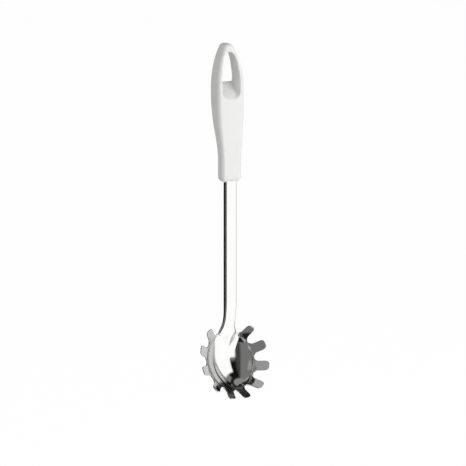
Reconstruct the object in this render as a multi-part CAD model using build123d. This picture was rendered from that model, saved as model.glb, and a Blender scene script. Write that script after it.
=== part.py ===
from build123d import *
import math
import os

# A hand tool that lifts pasta: a pressed steel bowl with fingers, on a channel shaft, in a white handle.
# Lengths are in millimetres. +Z is up, the open side of the bowl faces -Y, and X is the width.
# The origin is where a hook bears: the top of the hanging hole, in the middle of the handle there.

# Sheet of the pressing
sheet_thickness = 1.2

# Bowl: an oval dish whose rim lies in a plane that leans forward at the bottom
bowl_half_width = 23.6
bowl_half_length = 27.0
bowl_depth = 11.0
bowl_tilt_degrees = 19.0
bowl_forward = 2.5
rim_lip = 0.7

# Fingers: mirrored in pairs. Each row is an angle round the rim from the neck, the turn from square
# to the rim, in degrees too, and a share of the width.
finger_shares = (
    (40.4, -5.0, 0.87),
    (71.7, 0.0, 1.00),
    (104.1, 0.0, 1.00),
    (137.2, 0.0, 0.90),
    (166.8, 0.0, 0.80),
)
finger_width = 8.8
finger_reach = 13.8
finger_lean_degrees = 43.7
finger_corner_radius = 3.0
finger_root_share = 0.5
notch_radius = 2.8
notch_gap_share = 0.48
neck_notch_radius = 1.0
corner_search_share = 0.1

# Shaft: a channel with its flat web in front and its flanges bent back
shaft_width = 11.0
shaft_front = 3.7
flange_depth = 4.9
shaft_bend_radius = 1.5

# Neck: where the channel widens, sinks back and runs out in the floor of the bowl.
# Each row is a level's share of the neck's height, then shares of its sink, spread, reach and softness.
neck_height = 66.0
neck_sink = 19.2
neck_spread = 3.8
neck_reach = 24.0
neck_softness = 2.6
neck_shares = (
    (1.000, 0.000, 0.00, 0.000, 0.00),
    (0.909, 0.000, 0.00, 0.000, 0.00),
    (0.818, 0.002, 0.00, 0.000, 0.00),
    (0.727, 0.018, 0.00, 0.000, 0.00),
    (0.636, 0.059, 0.01, 0.005, 0.04),
    (0.545, 0.127, 0.09, 0.025, 0.20),
    (0.455, 0.204, 0.34, 0.085, 0.50),
    (0.364, 0.292, 0.80, 0.280, 0.80),
    (0.273, 0.432, 1.00, 0.540, 1.00),
    (0.182, 0.609, 1.00, 0.780, 1.00),
    (0.091, 0.807, 1.00, 0.930, 1.00),
    (0.000, 1.000, 1.00, 1.000, 1.00),
)

# Tang: the end of the web inside the handle, with holes that the core fills
mouth_height = 161.0
flange_grip = 12.0
tang_width = 8.6
tang_hole_radius = 2.0
tang_hole_pitch = 18.0

# Handle: rounded sections up its length. Each row is a share of the length above the rounded mouth,
# then shares of the width, of the thickness, of the lean towards the back and of the edge radius.
handle_length = 123.4
handle_width = 26.2
handle_thickness = 18.3
handle_lean = 6.6
handle_edge_radius = 3.2
mouth_width = 11.8
mouth_thickness = 7.0
mouth_round = 5.4
top_edge_radius = 0.8
handle_shares = (
    (0.000, 0.748, 0.640, 0.00, 0.90),
    (0.070, 0.748, 0.640, 0.00, 0.90),
    (0.153, 0.752, 0.640, 0.02, 0.90),
    (0.268, 0.832, 0.705, 0.13, 1.00),
    (0.414, 0.950, 0.860, 0.46, 1.00),
    (0.603, 1.000, 1.000, 0.70, 1.00),
    (0.749, 0.965, 0.960, 0.72, 1.00),
    (0.843, 0.820, 0.880, 0.84, 1.00),
    (0.927, 0.560, 0.780, 1.00, 1.00),
    (0.969, 0.400, 0.710, 1.04, 0.95),
    (0.990, 0.280, 0.620, 1.06, 0.85),
    (1.000, 0.180, 0.520, 1.07, 0.70),
)
mouth_round_shares = (0.0, 0.35, 0.7, 1.0)

# Hanging hole and thumb scoop. Each row is a share of the loop's length, then of the wall beside it.
loop_band = 6.8
loop_length = 41.4
loop_wall = 4.5
loop_corner_radius = 6.0
loop_edge_radius = 1.0
scoop_rise = 14.4
loop_shares = (
    (0.000, 1.09),
    (0.200, 1.00),
    (0.430, 0.97),
    (0.620, 0.90),
    (0.800, 0.74),
    (0.900, 0.65),
)

# Core: the carrier that is moulded round the tang, inside the outer handle
core_mouth_wall = 6.0
core_wall = 2.7
core_scoop_wall = 5.2
core_tang_cover = 8.0
core_edge_radius = 1.4
core_section_shares = (0.0, 0.33, 0.67, 1.0)

# One overrun for every cut
overrun = 6.0

# Worked out from the sizes above
tilt = math.radians(bowl_tilt_degrees)
lean = math.radians(finger_lean_degrees)
dish_half_width = bowl_half_width - rim_lip
dish_radius = (dish_half_width**2 + bowl_depth**2) / (2 * bowl_depth)
dish_centre = dish_radius - bowl_depth
rim_plane = Plane(
    origin=(0, -bowl_forward, 0),
    x_dir=(1, 0, 0),
    z_dir=(0, -math.cos(tilt), math.sin(tilt)),
)
handle_top = mouth_height + handle_length
loop_top = handle_top - loop_band
loop_foot = loop_top - loop_length
core_start = mouth_height + core_mouth_wall
core_end = loop_foot - core_scoop_wall
shaft_back = flange_depth - shaft_front
flange_end = mouth_height + flange_grip
tang_end = core_end - core_tang_cover


def rim_half_width(growth):
    """Half width, at the rim plane, of the dish grown outward by this much."""
    return math.sqrt((dish_radius + growth) ** 2 - dish_centre**2)


def dish_body(growth):
    """The space inside the bowl and between the fingers, grown outward by this much."""
    width = rim_half_width(growth)
    length = width + bowl_half_length - bowl_half_width
    ball = Pos(0, 0, dish_centre) * Sphere(dish_radius + growth)
    ball = scale(ball, by=(1, length / width, 1))
    span = dish_radius * 4
    below_rim = Pos(0, 0, -span / 2) * Box(span, span, span)
    reach = finger_reach + overrun
    flare = reach * math.cos(lean)
    rim = Ellipse(width, length)
    mouth = Pos(0, 0, reach * math.sin(lean)) * Ellipse(width + flare, length + flare)
    return (ball & below_rim) + loft([rim.face(), mouth.face()], ruled=True)


def finger_blank(angle_degrees, turn_degrees, width):
    """One finger's outline in the rim plane, from inside the bowl to its rounded tip."""
    angle = math.radians(angle_degrees)
    rim_x = bowl_half_width * math.sin(angle)
    rim_y = bowl_half_length * math.cos(angle)
    out_x = math.sin(angle) / bowl_half_width
    out_y = math.cos(angle) / bowl_half_length
    turn = math.degrees(math.atan2(out_y, out_x)) - turn_degrees
    root = bowl_half_width * finger_root_share
    tip = finger_reach * math.cos(lean)
    blank = Pos((tip - root) / 2, 0, 0) * Rectangle(root + tip, width)
    corners = blank.vertices().sort_by(Axis.X)[-2:]
    blank = fillet(corners, finger_corner_radius)
    return Pos(rim_x, rim_y, 0) * Rot(0, 0, turn) * blank


def head_outline():
    """The bowl's oval with all its fingers, and a round in each corner between them."""
    oval = Ellipse(bowl_half_width, bowl_half_length)
    outline = oval
    for angle, turn, share in finger_shares:
        for side in (1, -1):
            outline += finger_blank(side * angle, side * turn, finger_width * share)
    near = sheet_thickness * corner_search_share
    roots = []
    for corner in outline.vertices():
        if oval.edge().distance_to(corner) < near < abs(corner.X):
            roots.append(Vector(corner))
    roots.sort(key=lambda root: math.atan2(root.X, root.Y))
    for one, other in zip(roots[1::2], roots[2::2] + roots[:1]):
        radius = min(notch_radius, (other - one).length * notch_gap_share)
        if one.Y > 0 and one.X * other.X < 0:
            radius = neck_notch_radius
        for root in (one, other):
            corner = outline.vertices().sort_by_distance(root)[0]
            outline = fillet(corner, radius)
    return outline


def pressed_head():
    """The dish and its fingers, as one sheet cut to the outline."""
    span = dish_radius * 2
    blank = extrude(head_outline(), span, both=True)
    sheet = dish_body(sheet_thickness) - dish_body(0)
    return rim_plane.location * (sheet & blank)


def channel_section(level, front, half_width, back, bend):
    """A flat front between two rounded corners and two straight sides, seen from above."""
    middle = (back - front) / 2
    section = Pos(0, (back + front) / 2, 0) * Rectangle(half_width * 2, middle * 2)
    corners = section.vertices().sort_by(Axis.Y)[:2]
    return Pos(0, 0, level) * fillet(corners, bend)


def neck_body(inset):
    """The channel's outer shape down the neck, or its hollow when it is inset."""
    sections = []
    for level, sink, spread, reach, softness in neck_shares:
        sections.append(
            channel_section(
                neck_height * level,
                neck_sink * sink - shaft_front + inset,
                shaft_width / 2 + neck_spread * spread - inset,
                shaft_back + neck_reach * reach + inset * 2,
                shaft_bend_radius + neck_softness * softness - inset,
            ).face()
        )
    return loft(sections)


def shaft():
    """The channel from the neck to inside the handle, and the flat tang beyond it."""
    outer = channel_section(neck_height, -shaft_front, shaft_width / 2, shaft_back, shaft_bend_radius)
    inner = channel_section(
        neck_height,
        sheet_thickness - shaft_front,
        shaft_width / 2 - sheet_thickness,
        shaft_back + overrun,
        shaft_bend_radius - sheet_thickness,
    )
    channel = extrude(outer - inner, flange_end - neck_height)
    tang = Box(tang_width, sheet_thickness, tang_end - flange_end + overrun)
    tang = Pos(0, sheet_thickness / 2 - shaft_front, (tang_end + flange_end - overrun) / 2) * tang
    hole = Rot(90, 0, 0) * Cylinder(tang_hole_radius, overrun * 2)
    blade = channel + tang
    for place in (1, 2):
        blade -= Pos(0, -shaft_front, tang_end - tang_hole_pitch * place / 2) * hole
    return blade


def server_blade():
    """The whole pressing: fingers, bowl, neck, shaft and tang."""
    span = dish_radius * 4
    behind = Pos(0, 0, -span / 2) * Box(span, span, span) - dish_body(sheet_thickness)
    behind = rim_plane.location * behind
    hollow = neck_body(sheet_thickness)
    neck = neck_body(0) - hollow - behind
    head = pressed_head() - hollow
    return head + neck + shaft()


def handle_section(level, centre, width, thickness, edge):
    """One rounded section of the handle, level with the floor."""
    return (Pos(0, centre, level) * RectangleRounded(width, thickness, edge)).face()


def handle_body():
    """The handle's outer shape, before its hole and its hollow."""
    sections = []
    for along, width, thickness, back, edge in handle_shares:
        sections.append(
            handle_section(
                mouth_height + mouth_round + (handle_length - mouth_round) * along,
                handle_lean * back,
                handle_width * width,
                handle_thickness * thickness,
                handle_edge_radius * edge,
            )
        )
    body = loft(sections)
    _, width, thickness, _, edge = handle_shares[0]
    rounds = []
    for share in mouth_round_shares:
        grown = math.sqrt(1 - (1 - share) ** 2)
        rounds.append(
            handle_section(
                mouth_height + mouth_round * share,
                0,
                mouth_width + (handle_width * width - mouth_width) * grown,
                mouth_thickness + (handle_thickness * thickness - mouth_thickness) * grown,
                handle_edge_radius * edge,
            )
        )
    body += loft(rounds)
    top = body.faces().sort_by(Axis.Z)[-1]
    return fillet(top.edges(), top_edge_radius)


def handle_size(level):
    """Centre, width, thickness and edge radius of the handle at a level, read between its rows."""
    along = (level - mouth_height - mouth_round) / (handle_length - mouth_round)
    above = next(index for index, row in enumerate(handle_shares) if row[0] >= along or row[0] == 1)
    above = max(above, 1)
    low, high = handle_shares[above - 1], handle_shares[above]
    part = (along - low[0]) / (high[0] - low[0])
    width, thickness, back, edge = (a + (b - a) * part for a, b in zip(low[1:], high[1:]))
    return (
        handle_lean * back,
        handle_width * width,
        handle_thickness * thickness,
        handle_edge_radius * edge,
    )


def loop_outline():
    """The hole and the scoop seen from the front, inside the handle's walls and round at the top."""
    points = []
    for along, wall in loop_shares:
        _, width, _, _ = handle_size(loop_foot + loop_length * along)
        points.append((width / 2 - loop_wall * wall, loop_length * along))
    right = Spline([*points, (0, loop_length)], tangents=[(0, 1), (-1, 0)])
    left = mirror(right, Plane.YZ)
    outline = make_face([Line(left @ 0, right @ 0), right, left])
    corners = outline.vertices().sort_by(Axis.Y)[:2]
    return fillet(corners, loop_corner_radius)


def loop_cut():
    """What is cut away for the hanging hole, with a floor that slopes up to the back."""
    depth = handle_thickness * 2
    cut = Pos(0, 0, loop_foot) * extrude(Plane.XZ * loop_outline(), depth, both=True)
    centre, _, thickness, _ = handle_size(loop_foot)
    front = centre - thickness / 2
    slope = scoop_rise / thickness
    ramp = Polyline(
        (front - overrun, loop_foot - slope * overrun),
        (front + thickness + overrun, loop_foot + scoop_rise + slope * overrun),
        (front + thickness + overrun, loop_foot - overrun * 2),
        (front - overrun, loop_foot - overrun * 2),
        close=True,
    )
    return cut - extrude(Plane.YZ * make_face(ramp), handle_width, both=True)


def loop_edges(body):
    """The edges of the hole and the scoop that a hand meets."""
    reach = loop_outline().bounding_box().max.X + loop_edge_radius
    edges = []
    for edge in body.edges():
        box = edge.bounding_box()
        if box.min.Z > loop_foot - loop_edge_radius and box.max.Z < loop_top + loop_edge_radius:
            if max(-box.min.X, box.max.X) < reach:
                edges.append(edge)
    return edges


def core_body():
    """The carrier's outer shape: the handle's own sections, a wall smaller all round."""
    sections = []
    for share in core_section_shares:
        level = core_start + (core_end - core_start) * share
        centre, width, thickness, edge = handle_size(level)
        sections.append(
            handle_section(level, centre, width - core_wall * 2, thickness - core_wall * 2, core_edge_radius)
        )
    return loft(sections)


def tang_core():
    """The carrier, moulded round the tang and through its holes."""
    return core_body() - shaft()


def handle_shell():
    """The outer handle, moulded over the core and round the end of the channel."""
    body = handle_body() - loop_cut()
    body = fillet(loop_edges(body), loop_edge_radius)
    return body - core_body() - shaft()


def write_part(name, solid):
    """Write one piece, with the place where a hook bears moved to the origin."""
    back = handle_size(loop_top)[0]
    hung = Pos(0, -back, -loop_top) * solid
    hung.label = name
    export_step(hung, "parts/" + name + ".step")


os.makedirs("parts", exist_ok=True)
write_part("server_blade", server_blade())
write_part("tang_core", tang_core())
write_part("handle_shell", handle_shell())
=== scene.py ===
"""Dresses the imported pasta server: a steel pressing, a moulded handle, the core inside it and a studio."""

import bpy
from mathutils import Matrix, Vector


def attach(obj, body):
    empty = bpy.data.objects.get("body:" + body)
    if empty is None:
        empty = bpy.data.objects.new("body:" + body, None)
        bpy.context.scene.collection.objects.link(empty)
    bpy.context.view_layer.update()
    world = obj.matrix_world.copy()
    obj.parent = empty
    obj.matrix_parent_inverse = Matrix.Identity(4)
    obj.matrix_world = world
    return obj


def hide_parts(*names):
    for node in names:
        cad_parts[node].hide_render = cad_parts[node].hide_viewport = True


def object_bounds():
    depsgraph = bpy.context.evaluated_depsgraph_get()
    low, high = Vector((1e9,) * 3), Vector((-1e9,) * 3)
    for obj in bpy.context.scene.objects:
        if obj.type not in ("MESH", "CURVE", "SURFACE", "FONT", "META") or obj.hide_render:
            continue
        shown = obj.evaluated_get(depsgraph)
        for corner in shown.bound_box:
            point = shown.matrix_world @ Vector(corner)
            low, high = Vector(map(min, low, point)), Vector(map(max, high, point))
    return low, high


bl_info = {
    "name": "Pasta server",
    "version": (1, 0, 0),
    "blender": (4, 5, 0),
    "location": "3D View > Sidebar > Pasta server",
    "description": "Forms the steel pressing and the moulded handle of a pasta server round its packed frame",
    "category": "Mesh",
}

import math

import bpy
import numpy as np
from bpy.props import FloatProperty, FloatVectorProperty, PointerProperty
from mathutils import Vector, geometry

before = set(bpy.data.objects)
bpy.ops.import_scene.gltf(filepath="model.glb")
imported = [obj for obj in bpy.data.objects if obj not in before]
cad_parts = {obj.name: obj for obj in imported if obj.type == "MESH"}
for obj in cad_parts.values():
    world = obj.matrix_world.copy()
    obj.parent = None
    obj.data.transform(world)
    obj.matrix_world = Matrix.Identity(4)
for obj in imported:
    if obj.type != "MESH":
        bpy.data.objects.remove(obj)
cad_low, cad_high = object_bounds()

# Shapes are worked out in millimetres, with the bowl's centre level at 0, then hung by the hole's top
MM = 0.001
HANG_BACK = 6.697
HANG_LEVEL = 277.6


# Sizes and colours that a user would change


class BladeSizes(bpy.types.PropertyGroup):
    """Sizes of the steel pressing"""

    sheet_thickness: FloatProperty(
        name="Sheet thickness", description="Thickness of the steel sheet",
        default=0.0012, unit="LENGTH", precision=4)
    bowl_half_width: FloatProperty(
        name="Bowl half width", description="From the middle of the bowl to its rim at the side",
        default=0.0236, unit="LENGTH", precision=4)
    bowl_half_length: FloatProperty(
        name="Bowl half length", description="From the middle of the bowl to its rim at the bottom",
        default=0.0270, unit="LENGTH", precision=4)
    bowl_depth: FloatProperty(
        name="Bowl depth", description="Depth of the bowl below its rim",
        default=0.0110, unit="LENGTH", precision=4)
    bowl_tilt: FloatProperty(
        name="Bowl tilt", description="How far the rim leans forward at the bottom",
        default=math.radians(19.0), subtype="ANGLE")
    rim_lip: FloatProperty(
        name="Rim lip", description="Width of the flared lip between two fingers",
        default=0.0007, unit="LENGTH", precision=4)
    finger_width: FloatProperty(
        name="Finger width", description="Width of the widest fingers",
        default=0.0088, unit="LENGTH", precision=4)
    finger_reach: FloatProperty(
        name="Finger reach", description="Length of a finger from the rim to its tip",
        default=0.01296, unit="LENGTH", precision=5)
    finger_lean: FloatProperty(
        name="Finger lean", description="Angle of a finger above the plane of the rim",
        default=math.radians(43.7), subtype="ANGLE")
    edge_round: FloatProperty(
        name="Edge rounding", description="Rounding of the tumbled edges of the sheet",
        default=0.0004, unit="LENGTH", precision=4)


class HandleSizes(bpy.types.PropertyGroup):
    """Sizes of the moulded handle"""

    width: FloatProperty(
        name="Width", description="Greatest width of the handle",
        default=0.0262, unit="LENGTH", precision=4)
    thickness: FloatProperty(
        name="Thickness", description="Greatest thickness of the handle",
        default=0.01824, unit="LENGTH", precision=5)
    lean: FloatProperty(
        name="Lean", description="How far the handle sweeps back at its top",
        default=0.0066, unit="LENGTH", precision=4)
    edge_radius: FloatProperty(
        name="Edge radius", description="Radius of the long edges",
        default=0.0033, unit="LENGTH", precision=4)
    mouth_round: FloatProperty(
        name="Mouth rounding", description="Radius where the handle closes round the shaft",
        default=0.0054, unit="LENGTH", precision=4)
    hole_width: FloatProperty(
        name="Hole width", description="Width of the opening at its foot",
        default=0.0168, unit="LENGTH", precision=4)
    hole_length: FloatProperty(
        name="Hole length", description="Length of the opening, scoop included",
        default=0.0414, unit="LENGTH", precision=4)
    scoop_rise: FloatProperty(
        name="Scoop rise", description="How far the scoop climbs from the front to the back",
        default=0.0144, unit="LENGTH", precision=4)


class Finishes(bpy.types.PropertyGroup):
    """Colours and gloss of the materials"""

    steel_colour: FloatVectorProperty(
        name="Steel", description="Colour of the polished steel",
        default=(0.54, 0.538, 0.533), size=3, subtype="COLOR", min=0, max=1)
    steel_roughness: FloatProperty(
        name="Steel roughness", description="Roughness of the polish", default=0.07, min=0, max=1)
    plastic_colour: FloatVectorProperty(
        name="Handle", description="Colour of the moulded handle",
        default=(0.80, 0.80, 0.79), size=3, subtype="COLOR", min=0, max=1)
    plastic_roughness: FloatProperty(
        name="Handle roughness", description="Roughness of the moulded handle", default=0.30, min=0, max=1)
    core_colour: FloatVectorProperty(
        name="Core", description="Colour of the core inside the handle",
        default=(0.62, 0.62, 0.60), size=3, subtype="COLOR", min=0, max=1)


class StudioSettings(bpy.types.PropertyGroup):
    """Camera, light and floor"""

    camera_azimuth: FloatProperty(
        name="Camera azimuth", description="Turn of the camera round the server",
        default=math.radians(-26.0), subtype="ANGLE")
    camera_elevation: FloatProperty(
        name="Camera elevation", description="Height of the camera above the level",
        default=math.radians(11.14), subtype="ANGLE")
    view_width: FloatProperty(
        name="View width", description="Width of what the camera sees",
        default=0.41241, unit="LENGTH", precision=4)
    floor_drop: FloatProperty(
        name="Floor drop", description="Gap between the lowest finger and the floor",
        default=0.12, unit="LENGTH", precision=3)
    fill_level: FloatProperty(
        name="Fill level", description="Level of the light from all round", default=0.55, min=0)
    key_power: FloatProperty(
        name="Key power", description="Power of the soft lamp at the front right", default=10.0, min=0)


# Curves and distances


def smooth_step(low, high, value):
    """0 below low, 1 above high, with an even turn between them."""
    t = np.clip((value - low) / (high - low), 0.0, 1.0)
    return t * t * (3.0 - 2.0 * t)


def soft_min(a, b, reach):
    """The smaller of two distances, with a fillet where they meet."""
    h = np.clip(0.5 + 0.5 * (b - a) / reach, 0.0, 1.0)
    return b + (a - b) * h - reach * h * (1.0 - h)


def soft_max(a, b, reach):
    """The larger of two distances, with a rounding where they meet."""
    return -soft_min(-a, -b, reach)


def curve_through(rows, column):
    """A smooth function of a row's first value that passes through one column of the rows."""
    rows = np.array(sorted(rows), dtype=float)
    x, y = rows[:, 0], rows[:, column]
    slope = np.gradient(y, x)

    def read(at):
        at = np.clip(at, x[0], x[-1])
        i = np.clip(np.searchsorted(x, at, side="right") - 1, 0, len(x) - 2)
        span = x[i + 1] - x[i]
        t = (at - x[i]) / span
        return (
            y[i] * (1 + 2 * t) * (1 - t) ** 2
            + slope[i] * span * t * (1 - t) ** 2
            + y[i + 1] * t * t * (3 - 2 * t)
            - slope[i + 1] * span * t * t * (1 - t)
        )

    return read


def unit(vectors):
    """Vectors of length 1."""
    return vectors / np.maximum(np.linalg.norm(vectors, axis=-1, keepdims=True), 1e-12)


# The pressing: a flat blank in two coordinates, across and along, and where each point of it goes

# Angle round the rim from the neck, turn from square to the rim, both in degrees, and share of the width
FINGERS = (
    (40.4, -5.0, 0.87),
    (71.7, 0.0, 1.00),
    (104.1, 0.0, 1.00),
    (137.2, 0.0, 0.90),
    (166.8, 0.0, 0.80),
)
# The wall is steeper over a narrow band inside the rim
RIM_DROP = 0.45
RIM_WIDTH = 1.7
# Beyond the rim the sheet turns out of the wall between the first two distances, follows the oval as a
# cone, and is a flat plate in each finger from the end of the second two
RIM_TURN = (-0.6, 0.9)
PLATE_START = (0.3, 4.0)
# The fourth finger on each side, between these angles round the rim, starts a little steeper than it goes on
ROOT_STEP = 0.6
ROOT_LENGTH = 3.4
ROOT_FROM = (95.0, 125.0)
ROOT_TO = (148.0, 160.0)
# There is no flare under the neck: it grows between these angles
FLARE_FROM = (22.0, 29.0)
FINGER_CORNER = 3.0
# How far a finger's outline runs back into the bowl, and the fillet between the fingers
FINGER_ROOT = 12.0
NOTCH_REACH = 2.6
# The edge stands square to the sheet, so the flared rim is cut this much further in than its outer face
EDGE_SHIFT = 0.4
NECK_NOTCH_REACH = 1.2
BOWL_FORWARD = 2.5
# Level, how far back the web's front face is, half width, radius of its bend, and depth of its flange
NECK_ROWS = (
    (-6.0, 12.0, 6.2, 5.0, 2.0),
    (0.0, 11.0, 6.2, 5.0, 2.0),
    (6.0, 9.9, 6.6, 5.0, 2.0),
    (12.0, 8.35, 7.2, 4.8, 2.0),
    (18.0, 6.25, 8.2, 4.4, 1.6),
    (24.0, 3.75, 9.2, 3.8, 1.4),
    (30.0, 1.2, 6.9, 2.8, 2.45),
    (36.0, -1.15, 5.85, 2.0, 3.3),
    (42.0, -2.55, 5.55, 1.6, 3.85),
    (48.0, -3.35, 5.5, 1.5, 4.5),
    (54.0, -3.7, 5.5, 1.5, 4.9),
    (60.0, -3.7, 5.5, 1.5, 4.9),
    (240.0, -3.7, 5.5, 1.5, 4.9),
)
# Steepest slope, in degrees, of the ridge's sides in the bowl and on the neck, where one gives way to the
# other along the blank, and the reach of the fillet round the ridge
SHOULDER_SLOPE = 17.0
NECK_SLOPE = 60.0
SLOPE_CHANGE = (20.0, 27.0)
SHOULDER_FILLET = 3.2
# Where the ridge becomes a channel with bent flanges, and how far out it does so beside the bowl
CHANNEL_START = (21.0, 34.0)
CHANNEL_SIDE = (10.4, 12.2)
NECK_START = 18.0
SPINE_STRAIGHT_BELOW = 16.0
SPINE_STRAIGHT_ABOVE = 46.0
CHANNEL_END = 173.0
TANG_END = 222.5
TANG_HALF_WIDTH = 4.0
TANG_OVERLAP = 8.0


class Pressing:
    """The front face of the pressed sheet over its flat blank."""

    def __init__(self, sizes):
        self.thickness = sizes.sheet_thickness / MM
        self.half_width = sizes.bowl_half_width / MM
        self.half_length = sizes.bowl_half_length / MM
        self.depth = sizes.bowl_depth / MM
        self.lip = sizes.rim_lip / MM
        self.tilt = sizes.bowl_tilt
        self.finger_width = sizes.finger_width / MM
        self.reach = sizes.finger_reach / MM
        self.lean = sizes.finger_lean
        self.edge = sizes.edge_round / MM
        self.dish = (self.half_width - self.lip, self.half_length - self.lip)
        self.ball = (self.dish[0] ** 2 + self.depth**2) / (2 * self.depth)
        self.fingers = [self.finger_axis(side * a, side * t, s) for a, t, s in FINGERS for side in (1, -1)]
        self.lay_spine()

    def finger_axis(self, angle_degrees, turn_degrees, share):
        """Where a finger leaves the rim, its direction in the blank, and its half width."""
        angle = math.radians(angle_degrees)
        root = np.array([self.half_width * math.sin(angle), self.half_length * math.cos(angle)])
        out = math.atan2(math.cos(angle) / self.half_length, math.sin(angle) / self.half_width)
        out -= math.radians(turn_degrees)
        return root, np.array([math.cos(out), math.sin(out)]), self.finger_width * share / 2

    def lay_spine(self):
        """Tables of the line that the sections stand on, and of the web's height above it."""
        along = np.arange(-60.0, 260.0, 0.25)
        turn = self.tilt * (1 - smooth_step(SPINE_STRAIGHT_BELOW, SPINE_STRAIGHT_ABOVE, along))
        step_back = np.concatenate([[0], np.cumsum((np.sin(turn[1:]) + np.sin(turn[:-1])) / 2 * 0.25)])
        step_up = np.concatenate([[0], np.cumsum((np.cos(turn[1:]) + np.cos(turn[:-1])) / 2 * 0.25)])
        middle = np.searchsorted(along, 0.0)
        self.along, self.turn = along, turn
        self.spine_back = step_back - step_back[middle] - BOWL_FORWARD
        self.spine_level = step_up - step_up[middle]
        columns = [curve_through(NECK_ROWS, column) for column in (1, 2, 3, 4)]
        height = np.zeros_like(along)
        for _ in range(60):
            level = self.spine_level + height * np.sin(turn)
            wanted = (self.spine_back - columns[0](level)) / np.cos(turn)
            height += (wanted - height) * 0.5
        level = self.spine_level + height * np.sin(turn)
        self.web = height
        self.half, self.bend, self.flange = (column(level) for column in columns[1:])
        self.web_level = level

    def read(self, table, along):
        """A spine table at any place along the blank."""
        return np.interp(along, self.along, table)

    def oval_distance(self, half_width, half_length, across, along):
        """Distance outside an oval round the bowl's middle, negative inside it."""
        ratio = np.sqrt((across / half_width) ** 2 + (along / half_length) ** 2)
        slope = np.sqrt((across / half_width**2) ** 2 + (along / half_length**2) ** 2)
        return (ratio - 1) * np.maximum(ratio, 0.05) / np.maximum(slope, 0.002)

    def head_height(self, across, along):
        """Height of the bowl's floor and of the fingers above the rim's plane."""
        ratio = np.sqrt((across / self.dish[0]) ** 2 + (along / self.dish[1]) ** 2)
        inside = np.sqrt(np.maximum(self.ball**2 - (np.minimum(ratio, 1.0) * self.dish[0]) ** 2, 0))
        out = self.oval_distance(*self.dish, across, along)
        floor = self.ball - self.depth - inside - RIM_DROP * smooth_step(0.0, RIM_WIDTH, -out)
        cone = np.maximum(out, 0)
        plate = np.zeros_like(cone)
        nearest = np.full_like(cone, 1e9)
        for root, way, _ in self.fingers:
            dx, dy = across - root[0], along - root[1]
            ahead = dx * way[0] + dy * way[1]
            aside = np.abs(dx * way[1] - dy * way[0]) + np.maximum(-ahead, 0)
            near = aside < nearest
            plate = np.where(near, ahead + self.lip, plate)
            nearest = np.where(near, aside, nearest)
        flat = smooth_step(*PLATE_START, out)
        rise = (cone * (1 - flat) + plate * flat) * math.tan(self.lean)
        turn = np.degrees(np.arctan2(np.abs(across) / self.half_width, along / self.half_length))
        steep = smooth_step(*ROOT_FROM, turn) * (1 - smooth_step(*ROOT_TO, turn))
        rise = rise + ROOT_STEP * steep * smooth_step(0.0, ROOT_LENGTH, out)
        rise = rise * smooth_step(*FLARE_FROM, turn)
        blend = smooth_step(*RIM_TURN, out)
        return floor * (1 - blend) + rise * blend

    def place(self, across, along):
        """Where points of the blank go."""
        web, half = self.read(self.web, along), self.read(self.half, along)
        bend, turn = self.read(self.bend, along), self.read(self.turn, along)
        side = np.abs(across)
        start = half - bend
        # in the bowl: a ridge over the floor
        t = np.clip((side - start) / bend, 0, None)
        on_neck = smooth_step(*SLOPE_CHANGE, along)
        steepest = np.radians(SHOULDER_SLOPE + (NECK_SLOPE - SHOULDER_SLOPE) * on_neck)
        limit = np.sin(steepest)
        drop = bend * (1 - np.sqrt(1 - np.minimum(t, limit) ** 2))
        drop = drop + np.maximum(t - limit, 0) * bend * np.tan(steepest)
        height = soft_max(self.head_height(across, along), web - drop, SHOULDER_FILLET)
        # above the bowl: a channel with bent flanges
        arc = np.clip((side - start) / bend, 0, math.pi / 2)
        beyond = np.maximum(side - start - bend * math.pi / 2, 0)
        channel_across = np.where(side < start, side, start + bend * np.sin(arc)) * np.sign(across)
        channel_height = web - bend * (1 - np.cos(arc)) - beyond
        beside_bowl = smooth_step(*CHANNEL_SIDE, side) * (along < CHANNEL_START[1])
        part = smooth_step(*CHANNEL_START, along) * (1 - beside_bowl)
        x = across * (1 - part) + channel_across * part
        h = height * (1 - part) + channel_height * part
        back = self.read(self.spine_back, along) - h * np.cos(turn)
        level = self.read(self.spine_level, along) + h * np.sin(turn)
        return np.stack([x, back, level], axis=-1)

    def directions(self, across, along):
        """How a point moves across and along the blank, and the front's normal."""
        d = 0.04
        du = (self.place(across + d, along) - self.place(across - d, along)) / (2 * d)
        dv = (self.place(across, along + d) - self.place(across, along - d)) / (2 * d)
        return du, dv, unit(np.cross(du, dv))

    def outline_distance(self, across, along):
        """Distance outside the blank's outline, negative inside it."""
        bowl = self.oval_distance(self.half_width - EDGE_SHIFT, self.half_length - EDGE_SHIFT, across, along)
        flat_reach = self.reach * math.cos(self.lean)
        fingers = np.full_like(bowl, 1e9)
        for root, way, half in self.fingers:
            dx, dy = across - root[0], along - root[1]
            ahead = dx * way[0] + dy * way[1] - (flat_reach - FINGER_ROOT) / 2
            aside = dx * way[1] - dy * way[0]
            qx = np.abs(ahead) - (flat_reach + FINGER_ROOT) / 2 + FINGER_CORNER
            qy = np.abs(aside) - half + FINGER_CORNER
            corner = np.sqrt(np.maximum(qx, 0) ** 2 + np.maximum(qy, 0) ** 2)
            fingers = np.minimum(fingers, corner + np.minimum(np.maximum(qx, qy), 0) - FINGER_CORNER)
        head = soft_min(bowl, fingers, NOTCH_REACH)
        half, bend = self.read(self.half, along), self.read(self.bend, along)
        strip = half + self.read(self.flange, along) - (2 - math.pi / 2) * bend
        end = np.interp(CHANNEL_END, self.web_level, self.along)
        tang_end = np.interp(TANG_END, self.web_level, self.along)
        neck = np.maximum(np.abs(across) - strip, np.maximum(NECK_START - along, along - end))
        tang_length = np.maximum(end - TANG_OVERLAP - along, along - tang_end)
        tang = np.maximum(np.abs(across) - TANG_HALF_WIDTH, tang_length)
        return np.minimum(soft_min(head, neck, NECK_NOTCH_REACH), tang)

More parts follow.
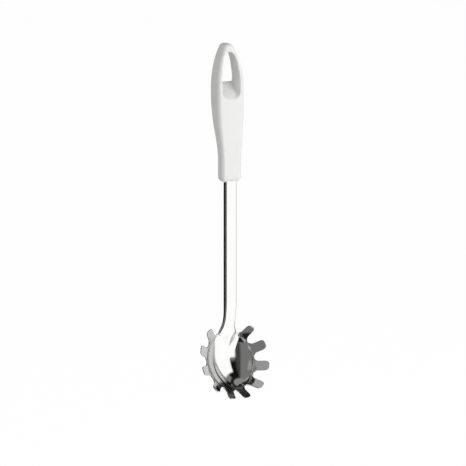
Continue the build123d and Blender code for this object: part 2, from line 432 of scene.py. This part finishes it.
    def outline_slope(self, points):
        """Which way the distance outside the outline grows."""
        x, y, d = points[:, 0], points[:, 1], 0.02
        gx = self.outline_distance(x + d, y) - self.outline_distance(x - d, y)
        gy = self.outline_distance(x, y + d) - self.outline_distance(x, y - d)
        return unit(np.stack([gx, gy], axis=-1))

    def outline(self, inset, spacing):
        """The blank's outline as evenly spaced points, an inset inside the true edge."""
        loop = trace_outline(lambda x, y: self.outline_distance(x, y) + inset)
        closed = np.vstack([loop, loop[:1]])
        run = np.concatenate([[0], np.cumsum(np.linalg.norm(np.diff(closed, axis=0), axis=1))])
        wanted = np.linspace(0, run[-1], int(run[-1] / spacing), endpoint=False)
        points = np.stack([np.interp(wanted, run, column) for column in closed.T], axis=-1)
        for _ in range(4):
            away = self.outline_distance(points[:, 0], points[:, 1]) + inset
            points = points - self.outline_slope(points) * away[:, None] * 0.8
        return points


# Cells of the grids that the outline, the head and the shaft are made from
OUTLINE_CELL = 0.4
HEAD_CELL = 0.62
SHAFT_CELL = (0.4, 1.6)
SHAFT_START = 40.4


def trace_outline(distance):
    """The longest closed line where a distance over the blank is 0."""
    xs = np.arange(-37.0, 37.0, OUTLINE_CELL) + 0.013
    ys = np.arange(-41.0, 228.0, OUTLINE_CELL) + 0.017
    grid = distance(*np.meshgrid(xs, ys, indexing="ij"))
    links = {}
    inside = grid < 0
    mixed = inside[:-1, :-1] + 0 + inside[1:, :-1] + inside[:-1, 1:] + inside[1:, 1:]
    for i, j in zip(*np.nonzero((mixed > 0) & (mixed < 4))):
        crossed = []
        for a, b in (((i, j), (i + 1, j)), ((i + 1, j), (i + 1, j + 1)),
                     ((i, j + 1), (i + 1, j + 1)), ((i, j), (i, j + 1))):
            if inside[a] != inside[b]:
                crossed.append((a, b))
        for one, other in zip(crossed[::2], crossed[1::2]):
            links.setdefault(one, []).append(other)
            links.setdefault(other, []).append(one)
    loops, left = [], set(links)
    while left:
        here = left.pop()
        loop = [here]
        while True:
            ahead = [n for n in links[here] if n in left]
            if not ahead:
                break
            here = ahead[0]
            left.discard(here)
            loop.append(here)
        loops.append(loop)
    points = []
    for a, b in max(loops, key=len):
        t = grid[a] / (grid[a] - grid[b])
        points.append((xs[a[0]] + (xs[b[0]] - xs[a[0]]) * t, ys[a[1]] + (ys[b[1]] - ys[a[1]]) * t))
    points = np.array(points)
    ahead = np.roll(points, -1, axis=0)
    area = (points[:, 0] * ahead[:, 1] - ahead[:, 0] * points[:, 1]).sum()
    return points if area > 0 else points[::-1]


def blank_points(pressing, inset):
    """Points inside the blank: a fine lattice in the head, long cells on the shaft."""
    head = np.arange(-34, 34.1, HEAD_CELL), np.arange(-38, 40, HEAD_CELL)
    head_x, head_y = np.meshgrid(*head, indexing="ij")
    head_x = head_x + (np.arange(head_x.shape[1]) % 2) * HEAD_CELL / 2
    shaft = np.arange(-10.2, 10.3, SHAFT_CELL[0]), np.arange(SHAFT_START, 226, SHAFT_CELL[1])
    shaft_x, shaft_y = np.meshgrid(*shaft, indexing="ij")
    x = np.concatenate([head_x.ravel(), shaft_x.ravel()])
    y = np.concatenate([head_y.ravel(), shaft_y.ravel()])
    keep = pressing.outline_distance(x, y) < -inset - 0.42
    return np.stack([x[keep], y[keep]], axis=-1)


def press_sheet(pressing):
    """Vertices, faces and normals of the sheet, with rounded edges all round."""
    rim = pressing.outline(pressing.edge, 0.5)
    inner = blank_points(pressing, pressing.edge)
    flat = np.vstack([rim, inner])
    count = len(rim)
    made = geometry.delaunay_2d_cdt(
        [Vector(p) for p in flat.tolist()], [], [list(range(count))], 1, 1e-6, False)
    flat = np.array([tuple(p) for p in made[0]])
    triangles = np.array([list(f) for f in made[2]])
    middle = flat[triangles].mean(axis=1)
    triangles = triangles[pressing.outline_distance(middle[:, 0], middle[:, 1]) < 0]
    du, dv, normal = pressing.directions(flat[:, 0], flat[:, 1])
    front = pressing.place(flat[:, 0], flat[:, 1])
    first, second, third = (front[triangles[:, corner]] for corner in range(3))
    turned = np.cross(second - first, third - first)
    flipped = (turned * normal[triangles[:, 0]]).sum(axis=1) < 0
    triangles[flipped] = triangles[flipped][:, ::-1]
    back = front - normal * pressing.thickness
    total = len(flat)
    points, normals = [front, back], [normal, -normal]
    faces = [list(t) for t in triangles.tolist()]
    faces += [[a + total, c + total, b + total] for a, b, c in triangles.tolist()]
    # the rounded edge, as rings between the front's and the back's first points
    slope = pressing.outline_slope(flat[:count])
    outward = unit(du[:count] * slope[:, :1] + dv[:count] * slope[:, 1:])
    outward = unit(outward - normal[:count] * (outward * normal[:count]).sum(axis=1, keepdims=True))
    thick, edge = pressing.thickness, pressing.edge
    quarter = np.radians([22.5, 45.0, 67.5, 90.0])
    profile = [(edge * math.sin(a), edge * (1 - math.cos(a)), a) for a in quarter]
    profile += [(w, thick - d, math.pi - a) for w, d, a in reversed(profile)]
    rings = [list(range(count))]
    for width, depth, angle in profile:
        rings.append(list(range(sum(map(len, points)), sum(map(len, points)) + count)))
        points.append(front[:count] + outward * width - normal[:count] * depth)
        normals.append(unit(outward * math.sin(angle) + normal[:count] * math.cos(angle)))
    rings.append([i + total for i in range(count)])
    forward = (np.cross(front[1] - front[0], normal[0]) * outward[0]).sum() > 0
    for one, other in zip(rings, rings[1:]):
        for i in range(count):
            j = (i + 1) % count
            face = [one[i], other[i], other[j], one[j]]
            faces.append(face if forward else face[::-1])
    return np.vstack(points), faces, np.vstack(normals)


# The handle: a closed shape given by its distance, with the opening taken out of it

# Share of the length above the mouth, then shares of the width, of the thickness and of the lean
HANDLE_ROWS = (
    (-0.050, 0.746, 0.638, 0.00),
    (0.000, 0.748, 0.640, 0.00),
    (0.070, 0.748, 0.640, 0.00),
    (0.153, 0.752, 0.642, 0.02),
    (0.268, 0.832, 0.705, 0.13),
    (0.414, 0.950, 0.860, 0.46),
    (0.603, 0.999, 0.998, 0.70),
    (0.749, 0.965, 0.960, 0.73),
    (0.843, 0.825, 0.880, 0.84),
    (0.927, 0.575, 0.790, 1.00),
    (0.969, 0.420, 0.730, 1.04),
    (1.000, 0.300, 0.680, 1.07),
)
HANDLE_FOOT = 161.0
HANDLE_LENGTH = 123.4
HANDLE_TOP = 284.3
HANDLE_GRID = 0.65
TOP_ROUND = 2.4
# How far the faces bulge between the long edges, and shares of the edge's and the mouth's radius
CROWN = 0.35
EDGE_SHARE = 0.95
MOUTH_SHARE = 0.92
LOOP_BAND = 6.8
# Share of the opening's length from its foot, then of its half width
LOOP_ROWS = (
    (0.00, 0.97),
    (0.20, 1.00),
    (0.43, 0.99),
    (0.62, 0.88),
    (0.80, 0.74),
    (0.90, 0.60),
    (0.96, 0.42),
    (0.99, 0.22),
    (1.00, 0.00),
)
LOOP_CORNER = 6.0
# The scoop's ramp: how far it bows, the cosine of its slope, the fillet at its foot and the rounded lip
RAMP_BOW = 0.25
RAMP_COSINE = 0.74
RAMP_FILLET = 2.2
LIP_ROUND = 1.5


class Moulding:
    """The handle as a distance, negative inside the plastic."""

    def __init__(self, sizes):
        self.width, self.thickness = sizes.width / MM, sizes.thickness / MM
        self.lean, self.edge = sizes.lean / MM, sizes.edge_radius / MM
        self.mouth = sizes.mouth_round / MM
        self.hole_width, self.hole_length = sizes.hole_width / MM, sizes.hole_length / MM
        self.rise = sizes.scoop_rise / MM
        self.curves = [curve_through(HANDLE_ROWS, column) for column in (1, 2, 3)]
        self.foot = HANDLE_FOOT + HANDLE_LENGTH - LOOP_BAND - self.hole_length
        self.loop = self.loop_polygon()

    def section(self, level):
        """Width, thickness and middle of the handle at a level."""
        share = (level - HANDLE_FOOT - self.mouth) / (HANDLE_TOP - HANDLE_FOOT - self.mouth)
        width, thickness, back = (curve(share) for curve in self.curves)
        return self.width * width, self.thickness * thickness, self.lean * back

    def body(self, x, y, z):
        """Distance to the handle without its opening."""
        width, thickness, middle = self.section(z)
        edge = self.edge * EDGE_SHARE
        crown = CROWN * (1 - (2 * x / self.width) ** 2)
        qx = np.abs(x) - width / 2 + edge
        qy = np.abs(y - middle) - thickness / 2 + edge + CROWN - crown
        around = np.sqrt(np.maximum(qx, 0) ** 2 + np.maximum(qy, 0) ** 2)
        around = around + np.minimum(np.maximum(qx, qy), 0) - edge
        for end, radius in ((HANDLE_FOOT - z, self.mouth * MOUTH_SHARE), (z - HANDLE_TOP, TOP_ROUND)):
            both = np.sqrt(np.maximum(around + radius, 0) ** 2 + np.maximum(end + radius, 0) ** 2)
            around = np.minimum(np.maximum(around, end) + radius, 0) + both - radius
        return around

    def loop_polygon(self):
        """The opening seen from the front, as a closed line of points."""
        half, length = self.hole_width / 2, self.hole_length
        rows = np.array(LOOP_ROWS)
        run = np.linspace(0, 1, 60) ** 0.6
        curve = curve_through([(a, b) for a, b in zip(np.arcsin(rows[:, 0]), rows[:, 1])], 1)
        side = np.stack([curve(np.arcsin(run)) * half, run * length], axis=-1)
        corner = LOOP_CORNER
        start = side[side[:, 1] > corner]
        turn = np.linspace(math.pi / 2, 0, 14)
        low = half * LOOP_ROWS[0][1]
        bend = np.stack([low - corner + corner * np.cos(turn), corner - corner * np.sin(turn)], axis=-1)
        bend[:, 0] += (start[0, 0] - low) * (bend[:, 1] / corner)
        right = np.vstack([bend, start])
        left = right[::-1] * [-1, 1]
        loop = np.vstack([right, left[1:]])
        return loop + [0, self.foot]

    def opening(self, x, z):
        """Distance to the opening's outline, negative inside the opening."""
        best = np.full(x.shape, 1e9)
        inside = np.zeros(x.shape, dtype=bool)
        for (ax, az), (bx, bz) in zip(self.loop, np.roll(self.loop, -1, axis=0)):
            ex, ez = bx - ax, bz - az
            t = np.clip(((x - ax) * ex + (z - az) * ez) / max(ex * ex + ez * ez, 1e-12), 0, 1)
            best = np.minimum(best, (x - ax - ex * t) ** 2 + (z - az - ez * t) ** 2)
            crosses = (az > z) != (bz > z)
            at = ax + (z - az) * ex / (ez if abs(ez) > 1e-12 else 1e-12)
            inside ^= crosses & (x < at)
        return np.where(inside, -1.0, 1.0) * np.sqrt(best)

    def distance(self, points):
        """Distance to the finished handle."""
        x, y, z = points[..., 0], points[..., 1], points[..., 2]
        body, opening = self.body(x, y, z), self.opening(x, z)
        _, thickness, middle = self.section(np.array(self.foot))
        front = middle - thickness / 2
        share = np.clip((y - front) / thickness, -0.3, 1.3)
        climb = self.rise * ((1 + RAMP_BOW) * share - RAMP_BOW * share**2)
        ramp = (self.foot + climb - z) * RAMP_COSINE
        cut = soft_max(opening, ramp, RAMP_FILLET)
        on_ramp = smooth_step(-LIP_ROUND, LIP_ROUND, ramp - opening)
        return soft_max(body, -cut, LIP_ROUND + RAMP_FILLET * on_ramp)


def net_surface(distance, low, high, step):
    """Vertices and four-sided faces where a distance is 0, moved onto it, and their normals."""
    axes = [np.arange(a, b + step, step) for a, b in zip(low, high)]
    grid = np.stack(np.meshgrid(*axes, indexing="ij"), axis=-1)
    field = distance(grid)
    inside = field < 0
    cells = tuple(n - 1 for n in field.shape)
    total, weight = np.zeros(cells + (3,)), np.zeros(cells)
    faces = []
    for axis in range(3):
        near = [slice(None)] * 3
        far = [slice(None)] * 3
        near[axis], far[axis] = slice(0, -1), slice(1, None)
        a, b = field[tuple(near)], field[tuple(far)]
        crossed = (a < 0) != (b < 0)
        t = np.where(crossed, a / np.where(crossed, a - b, 1.0), 0.0)
        place = grid[tuple(near)].copy()
        place[..., axis] += t * step
        others = [o for o in range(3) if o != axis]
        for da in (0, 1):
            for db in (0, 1):
                part = [slice(None)] * 3
                part[others[0]] = slice(da, cells[others[0]] + da)
                part[others[1]] = slice(db, cells[others[1]] + db)
                part = tuple(part)
                total += place[part] * crossed[part][..., None]
                weight += crossed[part]
        for i, j, k in zip(*np.nonzero(crossed)):
            spot = [i, j, k]
            ring = []
            for da, db in ((-1, -1), (0, -1), (0, 0), (-1, 0)):
                cell = list(spot)
                cell[others[0]] += da
                cell[others[1]] += db
                ring.append(tuple(cell))
            flip = inside[i, j, k] != (axis == 1)
            faces.append(ring if flip else ring[::-1])
    used = weight > 0
    number = np.full(cells, -1)
    number[used] = np.arange(used.sum())
    points = total[used] / weight[used][:, None]
    for _ in range(5):
        slope = field_slope(distance, points)
        square = np.maximum((slope**2).sum(axis=1), 0.05)
        points = points - slope * (distance(points) / square)[:, None] * 0.9
    return points, [[int(number[c]) for c in face] for face in faces], unit(field_slope(distance, points))


def field_slope(distance, points):
    """Slope of a distance at points."""
    d = 0.03
    moves = np.eye(3) * d
    return np.stack([(distance(points + m) - distance(points - m)) / (2 * d) for m in moves], axis=-1)


def mesh_piece(name, points, faces, normals, material):
    """A smooth mesh object from points in millimetres, riding on the one body."""
    mesh = bpy.data.meshes.new(name)
    hung = (points - [0.0, HANG_BACK, HANG_LEVEL]) * MM
    mesh.from_pydata(hung.tolist(), [], faces)
    mesh.shade_smooth()
    mesh.normals_split_custom_set_from_vertices(normals.tolist())
    mesh.materials.append(material)
    piece = bpy.data.objects.new(name, mesh)
    bpy.context.scene.collection.objects.link(piece)
    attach(piece, "root")
    return piece


# Shader maths


class Value:
    """A shader socket that Python's operators work on."""

    def __init__(self, nodes, socket):
        self.nodes, self.socket = nodes, socket

    def maths(self, operation, *others):
        """A Math node on this value and others."""
        return self.nodes.add("ShaderNodeMath", {"operation": operation}, dict(enumerate((self, *others))))

    def __add__(self, other):
        return self.maths("ADD", other)

    def __mul__(self, other):
        return self.maths("MULTIPLY", other)

    def __neg__(self):
        return self * -1.0

    def __rsub__(self, other):
        return self * -1.0 + other

    __radd__ = __add__
    __rmul__ = __mul__

    def between(self, low, high):
        """0 below low, 1 above high, with an even turn between them."""
        values = {"Value": self, "From Min": low, "From Max": high}
        return self.nodes.add("ShaderNodeMapRange", {"interpolation_type": "SMOOTHSTEP"}, values)


class Nodes:
    """A node tree that is built by calls."""

    def __init__(self, owner):
        owner.use_nodes = True
        self.tree = owner.node_tree
        self.tree.nodes.clear()

    def add(self, kind, settings=None, values=None, output=0):
        """One node: its type, its settings, then the values or links of its sockets."""
        node = self.tree.nodes.new(kind)
        for key, value in (settings or {}).items():
            setattr(node, key, value)
        for key, value in (values or {}).items():
            socket = node.inputs[key]
            if isinstance(value, Value):
                self.tree.links.new(value.socket, socket)
            else:
                socket.default_value = value
        return Value(self, node.outputs[output]) if len(node.outputs) else None

    def mix_colour(self, factor, a, b):
        """A colour between two colours: the Mix node keeps these in sockets 6 and 7, and output 2."""
        return self.add("ShaderNodeMix", {"data_type": "RGBA"}, {0: factor, 6: a, 7: b}, output=2)


def grained(nodes, scale, stretch, detail):
    """Noise in the piece's own space, stretched along an axis."""
    place = nodes.add("ShaderNodeTexCoord", output=3)
    place = nodes.add("ShaderNodeMapping", None, {"Vector": place, "Scale": stretch})
    return nodes.add("ShaderNodeTexNoise", None, {"Vector": place, "Scale": scale, "Detail": detail})


def polished_steel(finishes):
    """Stainless steel with a mirror polish and the faint lines of the polishing belt."""
    material = bpy.data.materials.new("polished_steel")
    nodes = Nodes(material)
    lines = grained(nodes, 1.0, (2600.0, 2600.0, 70.0), detail=2.0)
    cloud = grained(nodes, 1.0, (90.0, 90.0, 60.0), detail=4.0)
    rough = finishes.steel_roughness * (0.75 + lines * 0.35 + cloud * 0.30)
    dull = cloud.between(0.35, 0.75)
    colour = list(finishes.steel_colour)
    tint = nodes.mix_colour(dull, (*colour, 1.0), (*[c * 0.975 for c in colour], 1.0))
    bump = nodes.add(
        "ShaderNodeBump", None, {"Strength": 0.03, "Distance": 0.00002, "Height": lines})
    shader = nodes.add(
        "ShaderNodeBsdfPrincipled", None,
        {"Base Color": tint, "Metallic": 1.0, "Roughness": rough, "Normal": bump})
    nodes.add("ShaderNodeOutputMaterial", None, {"Surface": shader})
    return material


def moulded_plastic(name, colour, roughness, coat):
    """White moulded plastic: a soft gloss over a very fine orange peel."""
    material = bpy.data.materials.new(name)
    nodes = Nodes(material)
    peel = grained(nodes, 420.0, (1.0, 1.0, 1.0), detail=2.0)
    cloud = grained(nodes, 38.0, (1.0, 1.0, 0.6), detail=4.0)
    tone = nodes.mix_colour(
        cloud.between(0.3, 0.7), (*colour, 1.0), (*[c * 0.985 for c in colour], 1.0))
    rough = roughness * (0.88 + cloud * 0.24)
    bump = nodes.add(
        "ShaderNodeBump", None, {"Strength": 0.05, "Distance": 0.00005, "Height": peel})
    shader = nodes.add(
        "ShaderNodeBsdfPrincipled", None,
        {"Base Color": tone, "Roughness": rough, "Coat Weight": coat, "Normal": bump})
    nodes.add("ShaderNodeOutputMaterial", None, {"Surface": shader})
    return material


# What polished steel sees of the studio: azimuth from the front and elevation, both in degrees, as the
# low and high side of each panel, then the width of its soft border and its brightness
PANELS = (
    ((-180.0, -98.0), (-60.0, 90.0), 10.0, 0.03),
    ((-101.0, -84.0), (57.0, 74.0), 8.0, 0.66),
    ((-78.0, -62.0), (18.0, 42.0), 8.0, 0.55),
    ((-50.0, -20.0), (-50.0, -28.0), 6.0, 0.02),
    ((66.0, 150.0), (-18.0, 54.0), 12.0, 0.65),
    ((66.0, 150.0), (-90.0, -18.0), 14.0, 1.10),
    ((60.0, 98.0), (-90.0, -24.0), 8.0, 1.60),
    ((-31.0, -9.0), (-27.0, 90.0), 10.0, 0.09),
    ((-16.0, 118.0), (50.0, 90.0), 8.0, 0.01),
    ((38.0, 80.0), (46.0, 64.0), 7.0, 0.34),
    ((-14.0, 12.0), (22.0, 70.0), 12.0, 0.01),
    ((118.0, 180.0), (12.0, 90.0), 10.0, 0.03),
    ((-90.0, 125.0), (73.0, 90.0), 6.0, 0.45),
    ((-12.0, 68.0), (-90.0, 13.0), 8.0, 1.84),
    ((9.0, 66.0), (10.0, 51.0), 6.0, 1.84),
    ((-180.0, 180.0), (-90.0, -68.0), 8.0, 1.84),
)
STUDIO_GREY = 0.31


def studio_world(settings):
    """White to the camera, even light for the plastic, and soft panels for the steel to mirror."""
    world = bpy.data.worlds.new("studio")
    bpy.context.scene.world = world
    nodes = Nodes(world)
    ray = nodes.add("ShaderNodeTexCoord", output=0)
    split = nodes.add("ShaderNodeSeparateXYZ", None, {"Vector": ray})
    x, y, z = (Value(nodes, split.socket.node.outputs[i]) for i in range(3))
    azimuth = x.maths("ARCTAN2", -y) * (180 / math.pi)
    elevation = z.maths("ARCSINE") * (180 / math.pi)
    level = STUDIO_GREY
    for (left, right), (low, high), border, brightness in PANELS:
        mask = elevation.between(low - border / 2, low + border / 2)
        mask = mask * (1 - elevation.between(high - border / 2, high + border / 2))
        if left > -180.0:
            mask = mask * azimuth.between(left - border / 2, left + border / 2)
        if right < 180.0:
            mask = mask * (1 - azimuth.between(right - border / 2, right + border / 2))
        level = level + (brightness - level) * mask
    path = nodes.add("ShaderNodeLightPath")
    camera, glossy = path, Value(nodes, path.socket.node.outputs["Is Glossy Ray"])
    strength = settings.fill_level * (1 - glossy) + level * glossy
    strength = strength * (1 - camera) + camera
    light = nodes.add("ShaderNodeBackground", None, {"Color": (1.0, 1.0, 1.0, 1.0), "Strength": strength})
    nodes.add("ShaderNodeOutputWorld", None, {"Surface": light})


LAMP_AIM = (0, 0, -0.15)


def soft_lamp(name, place, size, power):
    """A soft rectangular lamp on the server's middle, which neither the camera nor the steel sees."""
    data = bpy.data.lights.new(name, "AREA")
    data.shape, data.size, data.size_y, data.energy = "RECTANGLE", size[0], size[1], power
    lamp = bpy.data.objects.new(name, data)
    lamp.location = place
    lamp.rotation_euler = (Vector(LAMP_AIM) - Vector(place)).to_track_quat("-Z", "Y").to_euler()
    lamp.visible_camera = False
    lamp.visible_glossy = False
    bpy.context.scene.collection.objects.link(lamp)


FLOOR_HALF = 4.0
FLOOR_GLOW = 1.03
FLOOR_GLOW_SHARE = 0.92


def pale_floor(settings):
    """A wide pale floor well below the fingers, which keeps a faint shadow."""
    drop, half = cad_low.z - settings.floor_drop, FLOOR_HALF
    mesh = bpy.data.meshes.new("pale_floor")
    corners = [(-half, -half, drop), (half, -half, drop), (half, half, drop), (-half, half, drop)]
    mesh.from_pydata(corners, [], [(0, 1, 2, 3)])
    material = bpy.data.materials.new("pale_floor")
    nodes = Nodes(material)
    path = nodes.add("ShaderNodeLightPath")
    shade = nodes.add("ShaderNodeBsdfDiffuse", None, {"Color": (0.9, 0.9, 0.9, 1.0)})
    glow = nodes.add("ShaderNodeEmission", None, {"Color": (1.0, 1.0, 1.0, 1.0), "Strength": FLOOR_GLOW})
    seen = nodes.add("ShaderNodeMixShader", None, {0: path * FLOOR_GLOW_SHARE, 1: shade, 2: glow})
    nodes.add("ShaderNodeOutputMaterial", None, {"Surface": seen})
    mesh.materials.append(material)
    floor = bpy.data.objects.new("pale_floor", mesh)
    floor.visible_glossy = False
    bpy.context.scene.collection.objects.link(floor)


# What the camera looks at: how far to the right of the server's middle, and at what level
AIM_RIGHT = 3.348
AIM_LEVEL = 114.3
CAMERA_DISTANCE = 1.5


def studio_camera(settings):
    """An upright camera at the photograph's angle, without perspective."""
    data = bpy.data.cameras.new("studio_camera")
    data.type, data.ortho_scale = "ORTHO", settings.view_width
    data.clip_start, data.clip_end = 0.01, 20.0
    camera = bpy.data.objects.new("studio_camera", data)
    a, e = settings.camera_azimuth, settings.camera_elevation
    back = Vector((math.sin(a) * math.cos(e), -math.cos(a) * math.cos(e), math.sin(e)))
    aim = Vector((AIM_RIGHT, -HANG_BACK, AIM_LEVEL - HANG_LEVEL)) * MM
    camera.location = aim + back * CAMERA_DISTANCE
    camera.rotation_euler = (-back).to_track_quat("-Z", "Y").to_euler()
    bpy.context.scene.collection.objects.link(camera)
    bpy.context.scene.camera = camera


# Operators, one for each piece and one for the stage


class PASTA_OT_press_blade(bpy.types.Operator):
    """Form the steel pressing: bowl, fingers, neck, channel and tang"""

    bl_idname = "pasta_server.press_blade"
    bl_label = "Press the blade"

    def execute(self, context):
        pressing = Pressing(context.scene.server_blade_sizes)
        points, faces, normals = press_sheet(pressing)
        steel = polished_steel(context.scene.server_finishes)
        piece = mesh_piece("steel_pressing", points, faces, normals, steel)
        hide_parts("server_blade")
        return {"FINISHED"}


class PASTA_OT_mould_handle(bpy.types.Operator):
    """Mould the handle with its thumb scoop and hanging hole"""

    bl_idname = "pasta_server.mould_handle"
    bl_label = "Mould the handle"

    def execute(self, context):
        finishes = context.scene.server_finishes
        moulding = Moulding(context.scene.server_handle_sizes)
        low = (-moulding.width / 2 - 1.1, -moulding.thickness / 2 - 1.1, HANDLE_FOOT - 1.3)
        high = (moulding.width / 2 + 1.1, moulding.thickness / 2 + moulding.lean + 2.1, HANDLE_TOP + 1.3)
        points, faces, normals = net_surface(moulding.distance, low, high, HANDLE_GRID)
        plastic = moulded_plastic("white_plastic", finishes.plastic_colour, finishes.plastic_roughness, 0.15)
        piece = mesh_piece("moulded_handle", points, faces, normals, plastic)
        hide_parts("handle_shell")
        return {"FINISHED"}


class PASTA_OT_finish_core(bpy.types.Operator):
    """Give the core inside the handle its plastic"""

    bl_idname = "pasta_server.finish_core"
    bl_label = "Finish the core"

    def execute(self, context):
        finishes = context.scene.server_finishes
        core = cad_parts["tang_core"]
        plastic = moulded_plastic("core_plastic", finishes.core_colour, 0.6, 0.0)
        for slot in core.material_slots:
            slot.material = plastic
        return {"FINISHED"}


# The side lamp's share of the key lamp's power
SIDE_SHARE = 0.12


class PASTA_OT_set_stage(bpy.types.Operator):
    """Set the pale floor, the soft light and the camera"""

    bl_idname = "pasta_server.set_stage"
    bl_label = "Set the stage"

    def execute(self, context):
        settings = context.scene.server_studio
        context.scene.view_settings.view_transform = "Standard"
        studio_world(settings)
        pale_floor(settings)
        soft_lamp("key", (0.75, -1.1, 0.25), (0.9, 1.3), settings.key_power)
        soft_lamp("side", (-1.2, -0.5, -0.1), (0.6, 1.0), settings.key_power * SIDE_SHARE)
        studio_camera(settings)
        return {"FINISHED"}


OPERATORS = (PASTA_OT_press_blade, PASTA_OT_mould_handle, PASTA_OT_finish_core, PASTA_OT_set_stage)
GROUPS = (
    ("server_blade_sizes", BladeSizes),
    ("server_handle_sizes", HandleSizes),
    ("server_finishes", Finishes),
    ("server_studio", StudioSettings),
)


class PASTA_PT_panel(bpy.types.Panel):
    """Sizes, finishes and steps of the pasta server"""

    bl_idname = "PASTA_PT_panel"
    bl_label = "Pasta server"
    bl_space_type = "VIEW_3D"
    bl_region_type = "UI"
    bl_category = "Pasta server"

    def draw(self, context):
        for name, group in GROUPS:
            box = self.layout.box()
            for field in group.__annotations__:
                box.prop(getattr(context.scene, name), field)
        for operator in OPERATORS:
            self.layout.operator(operator.bl_idname)


def register():
    """Register every class and hang the groups on the scene."""
    for name, group in GROUPS:
        bpy.utils.register_class(group)
        setattr(bpy.types.Scene, name, PointerProperty(type=group))
    for operator in OPERATORS:
        bpy.utils.register_class(operator)
    bpy.utils.register_class(PASTA_PT_panel)


def unregister():
    """Take everything off again."""
    bpy.utils.unregister_class(PASTA_PT_panel)
    for operator in reversed(OPERATORS):
        bpy.utils.unregister_class(operator)
    for name, group in reversed(GROUPS):
        delattr(bpy.types.Scene, name)
        bpy.utils.unregister_class(group)


def main():
    """Build the pieces and the stage."""
    register()
    bpy.ops.pasta_server.press_blade()
    bpy.ops.pasta_server.mould_handle()
    bpy.ops.pasta_server.finish_core()
    bpy.ops.pasta_server.set_stage()
    bpy.context.view_layer.update()


if __name__ == "__main__":
    main()
